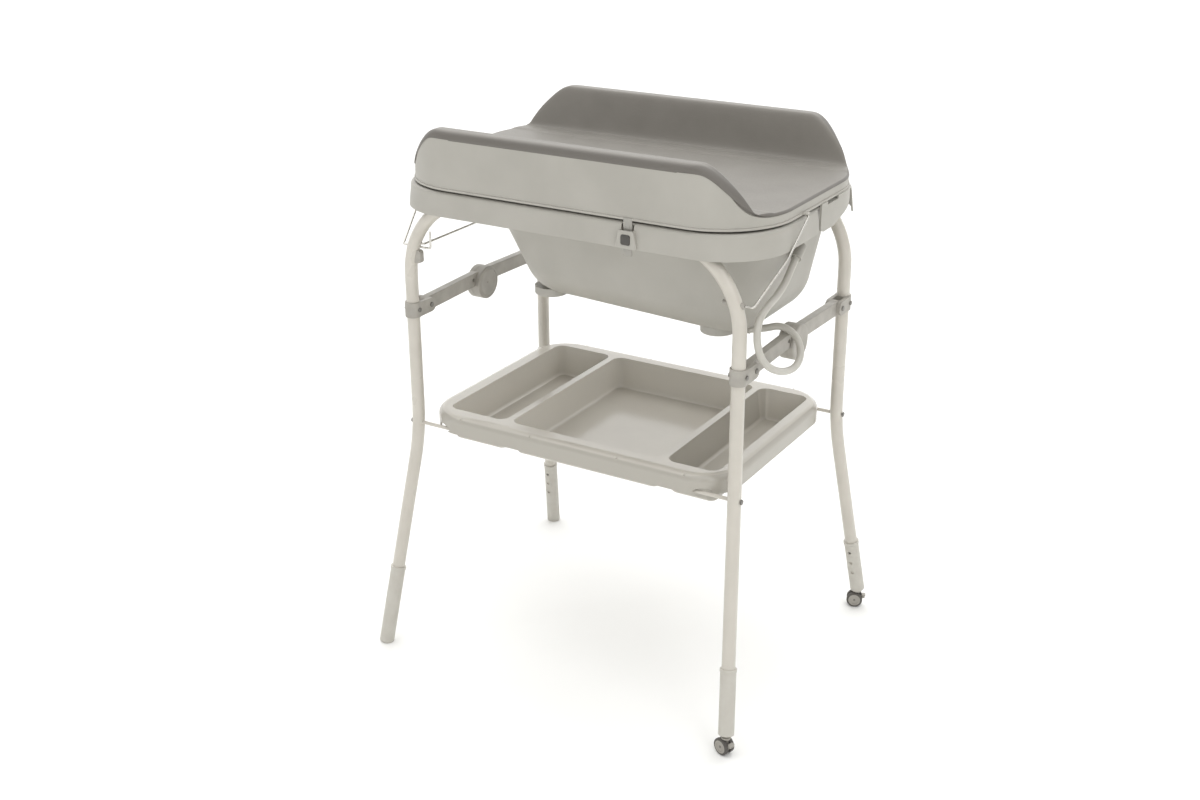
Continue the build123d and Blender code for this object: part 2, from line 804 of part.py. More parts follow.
def ear_notches():
    """Gaps in the skirt where the board's ears hang, following the board's outline."""
    low_y = ear_front_y - ear_notch_gap
    length = ear_rear_y + ear_gap - low_y
    height = rim_top_z - skirt_low_z
    band = Pos(0, low_y + length / 2, skirt_low_z + height / 2 - 1) * Box(
        2 * rim_x + 20, length, height + 4
    )
    kept = board_outline(ear_gap + bath_wall, skirt_low_z - 5)
    kept = extrude(kept, amount=height + 5 - bath_wall)
    deep = band - kept
    deep -= Pos(0, 0, rim_top_z - bath_wall) * extrude(Rectangle(3 * rim_x, 3 * rim_x), amount=20)
    return deep + (band - extrude(board_outline(ear_gap, skirt_low_z - 5), amount=height + 20))


def saddle(side_x, side_y):
    """Rib under the rim that sits on a top tube."""
    low = top_tube_z
    high = rim_top_z - bath_wall / 2
    span = rim_y - bath_wall - (tub_y - 10)
    rib = Box(saddle_width, span, high - low)
    rib = Pos(side_x * saddle_x, side_y * (tub_y - 10 + span / 2 - 4), (low + high) / 2) * rib
    notch = rod_along_x(
        tube_radius + saddle_gap, -rim_x, rim_x, side_y * leg_y, top_tube_z
    )
    mouth = Pos(0, side_y * leg_y, top_tube_z - 2 * tube_radius) * Box(
        2 * rim_x, 2 * (tube_radius + saddle_gap), 4 * tube_radius
    )
    return rib - notch - mouth


def latch_outline(margin):
    """Tapered outline of the latch, on the front of the skirt."""
    low = latch_low_width / 2 + margin
    high = latch_top_width / 2 + margin
    corners = [
        (latch_x - low, latch_low_z - margin),
        (latch_x + low, latch_low_z - margin),
        (latch_x + high, latch_top_z + margin),
        (latch_x - high, latch_top_z + margin),
    ]
    return fillet(Polygon(*corners, align=None).vertices(), 5.0)


def latch_window():
    """Slot for the clear tongue, cut down through the rim and the skirt."""
    low = skirt_low_z - 2
    height = rim_top_z + 2 - low
    slot = Box(catch_slot, latch_slot_depth, height)
    return Pos(latch_x, catch_back() - latch_slot_depth / 2 + 2.4, low + height / 2) * slot


def latch_front():
    """Y of the latch's front face."""
    return -rim_y - latch_proud


def catch_back():
    """Y of the clear tongue's back face, which lies on the board's front."""
    return -board_y


def rim_form():
    """Outer form of the rim and skirt, before its hollow is cut."""
    height = rim_top_z - skirt_low_z
    edge = rounded_plate(-rim_x, rim_x, rim_y, rim_corner, skirt_low_z)
    form = extrude(edge, amount=height, taper=skirt_draft)
    return fillet(form.edges().group_by(Axis.Z)[-1], rim_edge_round)


def latch_housing():
    """Front plate of the latch, with side walls that reach back to the skirt."""
    front = latch_front()
    block = Plane.XZ.offset(-front) * latch_outline(0.0)
    block = extrude(block, amount=front + board_y)
    block = fillet(block.edges().group_by(Axis.Y)[0], 1.2)
    reach = 2 * latch_low_width
    below = Pos(latch_x, -rim_y, skirt_low_z - reach / 2) * Box(reach, reach, reach)
    back = Pos(latch_x, reach / 2 - rim_y, latch_button_z) * Box(reach, reach, 2 * reach)
    block -= rim_form() + (below & back)
    slot_back = Box(catch_slot, latch_slot_depth, 2 * reach)
    slot_back = Pos(latch_x, front + latch_plate + latch_slot_depth / 2, latch_button_z) * slot_back
    block -= slot_back
    hole = latch_button_size / 2 + latch_button_gap
    window = Pos(latch_x, front, latch_button_z) * Box(2 * hole, 4 * latch_plate, 2 * hole)
    return block - fillet(window.edges().filter_by(Axis.Y), 4.0)


def latch_button():
    """Square push button of the latch, with a flange behind the plate."""
    front = latch_front() - latch_button_proud
    depth = latch_plate + latch_button_proud
    button = Box(latch_button_size, depth, latch_button_size)
    button = Pos(latch_x, front + depth / 2, latch_button_z) * button
    button = fillet(button.edges().filter_by(Axis.Y), 4.0)
    button = fillet(button.edges().group_by(Axis.Y)[0], 1.0)
    flange_y = front + depth + latch_flange / 2
    flange_size = catch_slot - 2 * latch_button_gap
    flange = Pos(latch_x, flange_y, latch_button_z) * Box(flange_size, latch_flange, flange_size)
    return button + flange


def catch_strap():
    """Clear tongue that hangs from the board behind the latch."""
    back = catch_back()
    height = board_low_z + board_bead_height - catch_low_z
    strap = Box(catch_width, catch_thickness, height)
    strap = Pos(latch_x, back - catch_thickness / 2, catch_low_z + height / 2) * strap
    return fillet(strap.edges().filter_by(Axis.Y).group_by(Axis.Z)[0], 3.0)


def bath_hinge_leaves():
    """Barrels behind the rim that hold the board's hinge pins."""
    leaves = []
    for middle in (-hinge_x, hinge_x):
        for side in (-1, 1):
            near = middle + side * (hinge_leaf / 2 + hinge_gap)
            far = near + side * hinge_leaf / 2
            barrel = rod_along_x(hinge_barrel, near, far, hinge_y, hinge_z)
            web = Pos((near + far) / 2, (hinge_y + rim_y - 8) / 2, hinge_z - 4)
            barrel += web * Box(hinge_leaf / 2, hinge_y - rim_y + 8, 5)
            barrel -= rod_along_x(hinge_pin_radius, near, far, hinge_y, hinge_z)
            leaves.append(barrel)
    return leaves


def hinge_pins():
    """Pins through the board's and the bath's barrels."""
    half = hinge_leaf + hinge_gap
    pins = []
    for middle in (-hinge_x, hinge_x):
        pins.append(rod_along_x(hinge_pin_radius, middle - half, middle + half, hinge_y, hinge_z))
    return pins


def bath_feet():
    """Round feet on which the bath stands when it is lifted off the frame."""
    feet = []
    left = (bath_foot_left_x, bath_foot_left_z)
    right = (bath_foot_right_x, bath_foot_right_z)
    for x, low in (left, right):
        for side_y in (-1, 1):
            height = tub_floor_z + bath_foot_root - low
            foot = Cylinder(bath_foot_radius, height)
            foot = Pos(x, side_y * bath_foot_y, low + height / 2) * foot
            foot = fillet(foot.edges().group_by(Axis.Z)[0], 2.5)
            well = Cylinder(bath_foot_radius - 4, 8)
            foot -= Pos(x, side_y * bath_foot_y, low + 4) * well
            feet.append(foot - tub_solid(0))
    return feet


def drain_fitting():
    """Waste fitting under the tub with a nozzle for the hose."""
    floor_top = tub_floor_z + bath_wall + drain_seat_proud
    floor_low = tub_floor_z - drain_seat_proud
    low = drain_nozzle_z - hose_radius
    body_height = floor_top - low
    body = Pos(drain_x, drain_y, low + body_height / 2) * Cylinder(drain_radius + 1.0, body_height)
    flange = Pos(drain_x, drain_y, floor_top + 1) * Cylinder(drain_flange, 2)
    nozzle = rod_along_x(hose_radius - 1.5, drain_x, drain_nozzle_end_x, drain_y, drain_nozzle_z)
    collar = rod_along_x(
        hose_radius + 1.5, drain_nozzle_end_x - 6, drain_nozzle_end_x, drain_y, drain_nozzle_z
    )
    nut = Pos(drain_x, drain_y, floor_low - drain_nut / 2) * Cylinder(drain_flange - 2, drain_nut)
    fitting = body + fillet(flange.edges().group_by(Axis.Z)[-1], 1.0) + nozzle + collar + nut
    fitting -= Pos(drain_x, drain_y, floor_top) * Cylinder(drain_radius - 2, 14)
    return fitting


def drain_plug():
    """Stopper in the waste fitting, with a grip on top."""
    top = tub_floor_z + bath_wall + drain_seat_proud + 2
    disc = Pos(drain_x, drain_y, top + 1.6) * Cylinder(plug_radius, 3)
    neck = Pos(drain_x, drain_y, top - 2) * Cylinder(drain_radius - 2.3, 6)
    grip = Pos(drain_x, drain_y, top + 8) * Box(4, 14, 12)
    grip = fillet(grip.edges().filter_by(Axis.X), 5.5)
    return fillet(disc.edges().group_by(Axis.Z)[-1], 1.2) + neck + grip


def hose_route():
    """Corner points of the hose, from the nozzle to the clip under the rim."""
    return [
        (drain_nozzle_end_x, drain_y, drain_nozzle_z),
        (304.0, -37.0, 723.0),
        (338.0, -38.0, 737.0),
        (372.0, -43.0, 724.0),
        (390.0, -60.0, 698.0),
        (394.0, -94.0, 684.0),
        (391.0, -134.0, 689.0),
        (387.0, -174.0, 705.0),
        (382.0, -209.0, 731.0),
        (377.0, -224.0, 768.0),
        (371.0, -208.0, 802.0),
        (368.0, -165.0, 816.0),
        (366.0, -128.0, 820.0),
        (365.0, -90.0, 834.0),
        (363.5, -56.0, 860.0),
        (361.0, -20.0, 881.0),
    ]


def hose_radii(points):
    """Bend radius at each corner, as large as its shorter run allows."""
    radii = []
    for before, here, after in zip(points, points[1:], points[2:]):
        run_in = Vector(*here) - Vector(*before)
        run_out = Vector(*after) - Vector(*here)
        turn = math.radians(run_in.get_angle(run_out))
        shorter = min(run_in.length, run_out.length)
        radii.append(0.45 * shorter / math.tan(turn / 2))
    return radii


def drain_hose():
    """Hanging loop of the drain hose."""
    points = hose_route()
    radii = hose_radii(points)
    print("hose radii", [round(radius) for radius in radii])
    return round_wire(points, radii, hose_radius)


def hose_clip():
    """Cup on the tub's end wall that holds the hose's free end."""
    points = hose_route()
    end = Vector(*points[-1])
    x, y, z = points[-1]
    run = end - Vector(*points[-2])
    mouth = Plane(origin=end, z_dir=run).location
    cup = mouth * Pos(0, 0, 2 - clip_height / 2) * Cylinder(clip_ring_radius, clip_height)
    hose_end = mouth * Pos(0, 0, -clip_height / 2) * Cylinder(hose_radius, clip_height)
    cup -= hose_end
    low = z - clip_height + 4
    arm = Pos(x - 12, y, low + clip_height / 2) * Box(16, 12, clip_height - 8)
    return cup + (arm - hose_end - tub_solid(0))


def board_outline(margin, z):
    """Outline of the changing board, drawn in by the margin."""
    return rounded_plate(
        -board_x + margin, board_x - margin, board_y - margin, board_corner - margin, z
    )


def wall_profile(low_z, side_z, high_z, high_x, drop_x):
    """Side view of the board: high in the middle, low at both ends."""
    outer = board_x + 40
    middle = ((high_x + drop_x) / 2, (side_z + high_z) / 2)
    with BuildSketch(Plane.XZ) as sketch:
        with BuildLine():
            right = Spline((high_x, high_z), middle, (drop_x, side_z), tangents=[(1, 0), (1, 0)])
            mirror(right, Plane.YZ)
            Line((-high_x, high_z), (high_x, high_z))
            Polyline((drop_x, side_z), (outer, side_z), (outer, low_z), (-outer, low_z),
                     (-outer, side_z), (-drop_x, side_z))
        make_face()
    return sketch.sketch


def board_shell():
    """Moulded board: a shallow dish with a raised wall at the front and back."""
    height = board_wall_z - board_low_z
    outer = extrude(board_outline(0, board_low_z), amount=height)
    inner = extrude(board_outline(board_wall, board_floor_z + board_wall), amount=height)
    profile = wall_profile(board_low_z - 5, board_side_z, board_wall_z, board_high_x, board_drop_x)
    keep = extrude(profile, amount=2 * board_y, both=True)
    shell = (outer & keep) - inner
    under = board_outline(board_wall, board_low_z)
    shell -= extrude(under, amount=board_floor_z - board_low_z)
    bead = extrude(board_outline(-board_bead, board_low_z), amount=board_bead_height)
    bead = fillet(bead.edges().group_by(Axis.Z)[-1], 1.5)
    bead -= extrude(board_outline(board_wall / 2, board_low_z), amount=board_bead_height)
    bead -= Pos(latch_x, -board_y, board_low_z) * Box(catch_width, 20, 20)
    shell += bead
    shell += board_ribs()
    shell += board_hinge_leaves()
    for side_x in (-1, 1):
        shell += stay_tab(side_x)
    return shell


def stay_tab(side_x):
    """Tab on the board's bead that rests on the end of a stay wire."""
    low = stay_hook_z + wire_radius + brace_play
    height = board_low_z + board_bead_height - low
    tab = Box(stay_tab_reach + board_wall, stay_tab_width, height)
    middle = board_x + (stay_tab_reach - board_wall) / 2
    return Pos(side_x * middle, stay_hook_y, low + height / 2) * tab


def board_ribs():
    """Stiffening ribs under the board's floor."""
    height = board_floor_z + 1 - board_low_z
    ribs = []
    middle_z = board_low_z + height / 2
    length_y = 2 * (board_y - board_rib_inset)
    length_x = 2 * (board_x - board_rib_inset)
    for step in (-2, -1, 0, 1, 2):
        rib = Box(board_rib, length_y, height)
        ribs.append(Pos(step * board_rib_pitch_x, 0, middle_z) * rib)
    for step in (-1, 0, 1):
        rib = Box(length_x, board_rib, height)
        ribs.append(Pos(0, step * board_rib_pitch_y, middle_z) * rib)
    return ribs


def board_hinge_leaves():
    """Barrels at the board's back edge."""
    leaves = []
    for middle in (-hinge_x, hinge_x):
        barrel = rod_along_x(
            hinge_barrel, middle - hinge_leaf / 2, middle + hinge_leaf / 2, hinge_y, hinge_z
        )
        web = Pos(middle, (hinge_y + board_y - 2) / 2, hinge_z + 5.5)
        barrel += web * Box(hinge_leaf, hinge_y - board_y + 2, 4)
        bore = hinge_pin_radius + running_fit
        barrel -= rod_along_x(bore, middle - hinge_leaf, middle + hinge_leaf, hinge_y, hinge_z)
        leaves.append(barrel)
    return leaves


def board_ear(side_x):
    """Curved plate that hangs from the board over a gap in the bath's skirt."""
    top = board_low_z
    height = top - ear_low_z
    outer = extrude(board_outline(-ear_thickness, ear_low_z), amount=height)
    ring = outer - extrude(board_outline(0, ear_low_z), amount=height)
    corners = [
        (ear_front_y, top + 1),
        (ear_front_y, ear_low_z + 4),
        (ear_front_y + 12, ear_low_z),
        (ear_front_y + 56, ear_low_z),
        (ear_rear_y, ear_low_z + 26),
        (ear_rear_y, top + 1),
    ]
    outline = fillet(Polygon(*corners, align=None).vertices(), 5.0)
    keep = extrude(Plane.YZ * outline, amount=2 * rim_x)
    ear = ring & keep
    slot_middle = ear_front_y + 50
    ear -= Pos(board_x, slot_middle, top) * Box(30, ear_slot_length, 2 * ear_slot_height)
    return ear if side_x > 0 else mirror(ear, Plane.YZ)


def pad():
    """One-piece foam pad: flat in the middle, with a raised roll along two sides."""
    low = board_floor_z + board_wall + pad_gap
    lip = board_y + pad_overhang
    inner_top = lip - pad_roll_width
    half = [
        (0, low),
        (lip, low),
        (lip, pad_top_z),
        (inner_top, pad_top_z),
        (inner_top - pad_roll_lean, pad_flat_z),
        (0, pad_flat_z),
    ]
    left = [(-y, z) for y, z in reversed(half)]
    section = Polygon(*half, *left, align=None)
    solid = extrude(Plane.YZ * section, amount=board_x, both=True)
    creases = solid.edges().filter_by(Axis.X).filter_by(is_crease)
    solid = fillet(creases, pad_crease_round)
    tops = solid.edges().filter_by(Axis.X).group_by(Axis.Z)[-1]
    solid = fillet(tops, pad_top_round)
    height = pad_top_z - low
    solid &= extrude(board_outline(-pad_overhang, low), amount=height)
    profile = wall_profile(low - 5, pad_side_z, pad_top_z, pad_high_x, pad_drop_x)
    solid &= extrude(profile, amount=2 * board_y, both=True)
    around = extrude(board_outline(-20, low), amount=height)
    around -= extrude(board_outline(board_wall + pad_gap, low), amount=height)
    below = wall_profile(
        low - 5, board_side_z + pad_gap, board_wall_z + pad_gap, board_high_x + pad_gap,
        board_drop_x + pad_gap
    )
    return solid - (around & extrude(below, amount=2 * board_y, both=True))


def is_crease(edge):
    """Whether an edge is where the flat of the pad meets a roll."""
    middle = edge.center()
    return abs(middle.Z - pad_flat_z) < 0.1 and abs(middle.Y) > 1.0


def rear_and_front(maker, name):
    """Write a front and a rear version of a piece."""
    write(f"{name}_front", maker(-1))
    write(f"{name}_rear", maker(1))


def write(name, piece):
    """Write one node as a STEP file."""
    solids = []
    for item in piece if isinstance(piece, (list, tuple)) else [piece]:
        solids.extend(item.solids())
    shape = solids[0] if len(solids) == 1 else Compound(solids)
    export_step(shape, f"parts/{name}.step")


def main():
    os.makedirs("parts", exist_ok=True)
    rear_and_front(frame_tube, "frame_tube")
    rear_and_front(tray_rod, "tray_rod")
    rear_and_front(rod_screws, "rod_screws")
    for side_y, end in ((-1, "front"), (1, "rear")):
        write(f"brace_pins_{end}", fork_pins(side_y, brace_pin_radius, 5.0, brace_pivot_offset))
        write(f"clamp_screws_{end}", fork_pins(side_y, screw_radius, 4.5, 0.0))
        for side_x, hand in ((-1, "left"), (1, "right")):
            write(f"clamp_{end}_{hand}", clamp(side_x, side_y))
            write(f"brace_{end}_{hand}", brace_half(side_x, side_y))
            write(f"leg_sleeve_{end}_{hand}", sleeve(side_x, side_y))
            write(f"leg_button_{end}_{hand}", leg_button(side_x, side_y))
        write(f"caster_fork_{end}", caster_fork(side_y))
        write(f"caster_hubs_{end}", caster_hubs(side_y))
        write(f"caster_tyres_{end}", caster_tyres(side_y))
        write(f"caster_axle_{end}", caster_axle(side_y))
        write(f"caster_brake_{end}", caster_brake(side_y))
    for side_x, hand in ((-1, "left"), (1, "right")):
        write(f"brace_hub_pin_{hand}", hub_pin(side_x))
        write(f"brace_lock_button_{hand}", lock_button(side_x))
        write(f"stay_wire_{hand}", stay_wire(side_x))
        write(f"board_ear_{hand}", board_ear(side_x))
    write("frame_stay_wire", frame_stay_wire())
    write("stay_bushes", stay_bushes())
    write("tray", tray())
    write("bath_shell", bath_shell())
    write("bath_feet", bath_feet())
    write("hinge_pins", hinge_pins())
    write("drain_fitting", drain_fitting())
    write("drain_plug", drain_plug())
    write("drain_hose", drain_hose())
    write("hose_clip", hose_clip())
    write("latch_housing", latch_housing())
    write("latch_button", latch_button())
    write("catch_strap", catch_strap())
    write("board_shell", board_shell())
    write("pad", pad())


main()
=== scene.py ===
import json
import math

import bmesh
import bpy
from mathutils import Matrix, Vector


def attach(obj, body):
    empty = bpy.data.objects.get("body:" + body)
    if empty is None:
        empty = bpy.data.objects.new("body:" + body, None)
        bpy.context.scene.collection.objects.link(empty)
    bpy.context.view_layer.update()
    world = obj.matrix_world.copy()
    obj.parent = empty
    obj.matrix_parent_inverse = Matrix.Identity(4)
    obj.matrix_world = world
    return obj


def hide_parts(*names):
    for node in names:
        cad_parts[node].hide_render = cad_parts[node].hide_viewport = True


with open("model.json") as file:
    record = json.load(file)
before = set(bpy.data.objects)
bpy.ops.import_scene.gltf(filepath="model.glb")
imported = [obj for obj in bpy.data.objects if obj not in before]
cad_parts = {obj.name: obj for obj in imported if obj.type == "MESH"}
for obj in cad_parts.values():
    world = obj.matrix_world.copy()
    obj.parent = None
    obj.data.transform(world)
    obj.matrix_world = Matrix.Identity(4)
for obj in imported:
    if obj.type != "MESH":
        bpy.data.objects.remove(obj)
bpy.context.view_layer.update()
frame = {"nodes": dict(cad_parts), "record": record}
nodes = frame["nodes"]
print("frame loaded:", len(nodes), "nodes")

# camera

cameraPlace = {
    "at": (1.392, -2.410, 1.666),
    "look": (-0.065, -0.031, 0.5),
    "roll": -0.38,  # degrees
    "lens": 45.69, "sensor": 36,
    "shift": (0.0064, 0.0011),
    "clip": (0.05, 60),
}


def turnTo(thing, at, aim):
    thing.location = at
    thing.rotation_euler = (Vector(aim) - Vector(at)).to_track_quat("-Z", "Y").to_euler()


def addObject(name, data):
    thing = bpy.data.objects.new(name, data)
    bpy.context.scene.collection.objects.link(thing)
    return thing


def makeCamera(s):
    data = bpy.data.cameras.new("camera")
    data.lens = s["lens"]
    data.sensor_width = s["sensor"]
    data.shift_x, data.shift_y = s["shift"]
    data.clip_start, data.clip_end = s["clip"]
    camera = addObject("camera", data)
    turnTo(camera, s["at"], s["look"])
    camera.rotation_euler.rotate_axis("Z", math.radians(s["roll"]))
    bpy.context.scene.camera = camera


makeCamera(cameraPlace)

# small helpers for materials


def hexColour(code, alpha=1.0):  # sRGB hex to linear
    parts = [int(code[i:i + 2], 16) / 255 for i in (0, 2, 4)]
    return [c / 12.92 if c <= 0.04045 else ((c + 0.055) / 1.055) ** 2.4 for c in parts] + [alpha]


def addNode(tree, kind, settings=None, values=None, links=None):
    node = tree.nodes.new(kind)
    for key, value in (settings or {}).items():
        setattr(node, key, value)
    for key, value in (values or {}).items():
        node.inputs[key].default_value = value
    for key, source in (links or {}).items():
        tree.links.new(source, node.inputs[key])
    return node


def perMetre(millimetres):  # pattern scale for a feature of that real size
    return 1000.0 / millimetres


# the parts of a noise's range that hold most of its values
noiseCore = (0.35, 0.65)
noiseBulk = (0.3, 0.7)


def startFinish(name, look):
    material = bpy.data.materials.new(name)
    material.use_nodes = True
    tree = material.node_tree
    shader = tree.nodes["Principled BSDF"]
    for socket, value in look.items():
        shader.inputs[socket].default_value = value
    place = addNode(tree, "ShaderNodeTexCoord").outputs["Object"]
    return material, tree, shader, place


def mottledColour(tree, s, share, narrowed=None):
    # the two tones laid out by share, which is stretched from the narrowed range
    if narrowed:
        start, full = narrowed
        share = addNode(tree, "ShaderNodeMapRange", {}, {"From Min": start, "From Max": full},
                        {"Value": share}).outputs[0]
    mixed = addNode(tree, "ShaderNodeMix", {"data_type": "RGBA"},
                    {6: hexColour(s["colour"]), 7: hexColour(s["tone"])}, {0: share})
    return mixed.outputs[2]


def paintedFacingLightShade(tree, place, colour, tone, start, full):
    # painted light and shade: another tone on faces that look outwards, or inwards where start
    # and full are negative
    facing = addNode(tree, "ShaderNodeTexCoord").outputs["Normal"]
    level = addNode(tree, "ShaderNodeVectorMath", {"operation": "MULTIPLY"},
                    {1: (1.0, 1.0, 0.0)}, {0: place})
    outward = addNode(tree, "ShaderNodeVectorMath", {"operation": "DOT_PRODUCT"}, {},
                      {0: facing, 1: level.outputs[0]})
    share = addNode(tree, "ShaderNodeMapRange", {"interpolation_type": "SMOOTHSTEP"},
                    {"From Min": start, "From Max": full}, {"Value": outward.outputs["Value"]})
    mixed = addNode(tree, "ShaderNodeMix", {"data_type": "RGBA"},
                    {7: hexColour(tone)}, {0: share.outputs[0], 6: colour})
    return mixed.outputs[2]


def unevenGloss(tree, shader, s, pattern, narrowed=(0.0, 1.0)):
    start, full = narrowed
    low, high = s["roughness"]
    gloss = addNode(tree, "ShaderNodeMapRange", {},
                    {"From Min": start, "From Max": full, "To Min": low, "To Max": high},
                    {"Value": pattern})
    tree.links.new(gloss.outputs[0], shader.inputs["Roughness"])


def raisedSkin(tree, shader, height, strength, depthMm):
    bump = addNode(tree, "ShaderNodeBump", {}, {"Strength": strength, "Distance": depthMm / 1000},
                   {"Height": height})
    tree.links.new(bump.outputs[0], shader.inputs["Normal"])


# finishes
# Grains under 3 mm are drawn coarser than the real ones, which are too fine to show: moulded
# skins and dust are really 0.1 to 0.3 mm across, and the foam's leather print about 1 mm.

moulded = {
    # polyester powder coat on steel tube: orange peel and a satin sheen
    "satinPowderCoat": {
        "colour": "C6C1B7", "tone": "C0BBB1", "mottleMm": 60,
        "grainMm": 3.0, "grainStrength": 0.25, "grainDepthMm": 0.25,
        "roughness": (0.26, 0.34), "ior": 1.52,
        "look": {"Coat Weight": 0.25, "Coat Roughness": 0.2}},
    # injection moulded polypropylene with a spark eroded skin: soft broad highlights
    "mouldedPolypropylene": {
        "colour": "A9A69E", "tone": "A4A199", "mottleMm": 90,
        "grainMm": 2.4, "grainStrength": 0.22, "grainDepthMm": 0.2,
        "roughness": (0.40, 0.50), "ior": 1.49},
    # polished polypropylene: mirrors what stands over it, with painted shade deepening the
    # outside and painted light paling the inside
    "polishedPolypropylene": {
        "colour": "BFBBB1", "tone": "BAB5AC", "mottleMm": 120,
        # painted shade on faces looking outwards, painted light on faces looking inwards
        "facing": [("ACA89F", 0.16, 0.21), ("DAD6CD", -0.04, -0.12)],
        "grainMm": 9.0, "grainStrength": 0.12, "grainDepthMm": 0.25,
        "roughness": (0.12, 0.20), "ior": 1.49},
    # glass filled polyamide fittings: dry and matt
    "mattPolyamide": {
        "colour": "A5A199", "tone": "9C9890", "mottleMm": 25,
        "grainMm": 1.8, "grainStrength": 0.35, "grainDepthMm": 0.2,
        "roughness": (0.46, 0.58), "ior": 1.53},
    # the same polyamide in a lighter grade: pale, and a little smoother
    "palePolyamide": {
        "colour": "BFBCB3", "tone": "BAB6AD", "mottleMm": 25,
        "grainMm": 1.8, "grainStrength": 0.3, "grainDepthMm": 0.2,
        "roughness": (0.42, 0.54), "ior": 1.53},
    # acetal push button: dark and smooth
    "darkAcetal": {
        "colour": "4A4743", "tone": "42403C", "mottleMm": 20,
        "grainMm": 2.0, "grainStrength": 0.15, "grainDepthMm": 0.15,
        "roughness": (0.34, 0.42), "ior": 1.48},
    # thermoplastic rubber tread: dull, with dust in its grain
    "treadRubber": {
        "colour": "4F4C48", "tone": "5B5853", "mottleMm": 8,
        "grainMm": 1.6, "grainStrength": 0.4, "grainDepthMm": 0.25,
        "roughness": (0.62, 0.80), "ior": 1.52},
}

metals = {
    # zinc plate on steel screws: dull grey metal with a cloudy spangle
    "zincPlate": {"colour": "8E8C87", "tone": "716F6B", "cloudMm": 6, "roughness": (0.3, 0.45)},
    # drawn steel wire: bright, with long faint clouds
    "drawnWire": {"colour": "D6D4CE", "tone": "BEBBB5", "cloudMm": 12, "roughness": (0.22, 0.34)},
}

# integral skin polyurethane foam: soft matt skin with a fine leather print
foam = {
    "colour": "827E77", "tone": "7C7871", "mottleMm": 70,
    "side": ("67635D", 0.06, 0.2),                    # painted shade, darker down the outsides of the rolls
    "pebbleMm": 2.6, "wrinkleMm": 6, "wrinkleShare": 0.6,
    "pebbleStrength": 0.35, "pebbleDepthMm": 0.3,
    "roughness": (0.48, 0.62), "ior": 1.5,
    "look": {"Sheen Weight": 0.12, "Sheen Roughness": 0.5},
}

clears = {
    # plasticised PVC hose: milky and soft
    "softPvc": {"colour": "C0BDB4", "ior": 1.53, "clear": 0.12,
                "hazeMm": 15, "roughness": (0.25, 0.4)},
    # polycarbonate: see-through and hard
    "clearPolycarbonate": {"colour": "B4B1A9", "ior": 1.58, "clear": 0.3,
                           "hazeMm": 20, "roughness": (0.12, 0.2)},
}


def mouldedFinish(name, s):
    # two tones mottled together, a fine skin and uneven gloss
    material, tree, shader, place = startFinish(name, {"IOR": s["ior"], **s.get("look", {})})
    mottle = addNode(tree, "ShaderNodeTexNoise", {},
                     {"Scale": perMetre(s["mottleMm"]), "Detail": 3.0}, {"Vector": place})
    colour = mottledColour(tree, s, mottle.outputs[0], noiseCore)
    # painted shade and painted light by which way faces look, where a finish lists them
    for tone, start, full in s.get("facing", []):
        colour = paintedFacingLightShade(tree, place, colour, tone, start, full)
    tree.links.new(colour, shader.inputs["Base Color"])
    skin = addNode(tree, "ShaderNodeTexNoise", {},
                   {"Scale": perMetre(s["grainMm"]), "Detail": 2.0}, {"Vector": place})
    raisedSkin(tree, shader, skin.outputs[0], s["grainStrength"], s["grainDepthMm"])
    unevenGloss(tree, shader, s, mottle.outputs[0], noiseBulk)
    return material


def metalFinish(name, s):
    material, tree, shader, place = startFinish(name, {"Metallic": 1.0})
    cloud = addNode(tree, "ShaderNodeTexNoise", {},
                    {"Scale": perMetre(s["cloudMm"]), "Detail": 4.0}, {"Vector": place})
    tree.links.new(mottledColour(tree, s, cloud.outputs[0]), shader.inputs["Base Color"])
    unevenGloss(tree, shader, s, cloud.outputs[0])
    return material


def foamFinish(name, s):
    material, tree, shader, place = startFinish(name, {"IOR": s["ior"], **s["look"]})
    mottle = addNode(tree, "ShaderNodeTexNoise", {},
                     {"Scale": perMetre(s["mottleMm"]), "Detail": 4.0}, {"Vector": place})
    colour = mottledColour(tree, s, mottle.outputs[0], noiseBulk)
    # painted shade down the outsides of the rolls
    tree.links.new(paintedFacingLightShade(tree, place, colour, *s["side"]), shader.inputs["Base Color"])
    pebble = addNode(tree, "ShaderNodeTexVoronoi", {"feature": "SMOOTH_F1"},
                     {"Scale": perMetre(s["pebbleMm"]), "Smoothness": 0.6}, {"Vector": place})
    wrinkle = addNode(tree, "ShaderNodeTexNoise", {},
                      {"Scale": perMetre(s["wrinkleMm"]), "Detail": 2.0}, {"Vector": place})
    both = addNode(tree, "ShaderNodeMath", {"operation": "MULTIPLY_ADD"},
                   {1: s["wrinkleShare"]}, {0: wrinkle.outputs[0], 2: pebble.outputs[0]})
    raisedSkin(tree, shader, both.outputs[0], s["pebbleStrength"], s["pebbleDepthMm"])
    unevenGloss(tree, shader, s, pebble.outputs[0])
    return material


def clearFinish(name, s):
    # see-through plastic with a faint haze
    material, tree, shader, place = startFinish(name, {
        "Base Color": hexColour(s["colour"]), "IOR": s["ior"], "Transmission Weight": s["clear"]})
    haze = addNode(tree, "ShaderNodeTexNoise", {},
                   {"Scale": perMetre(s["hazeMm"]), "Detail": 3.0}, {"Vector": place})
    unevenGloss(tree, shader, s, haze.outputs[0])
    return material


finishes = {name: mouldedFinish(name, s) for name, s in moulded.items()}
finishes.update((name, metalFinish(name, s)) for name, s in metals.items())
finishes["skinnedFoam"] = foamFinish("skinnedFoam", foam)
finishes.update((name, clearFinish(name, s)) for name, s in clears.items())

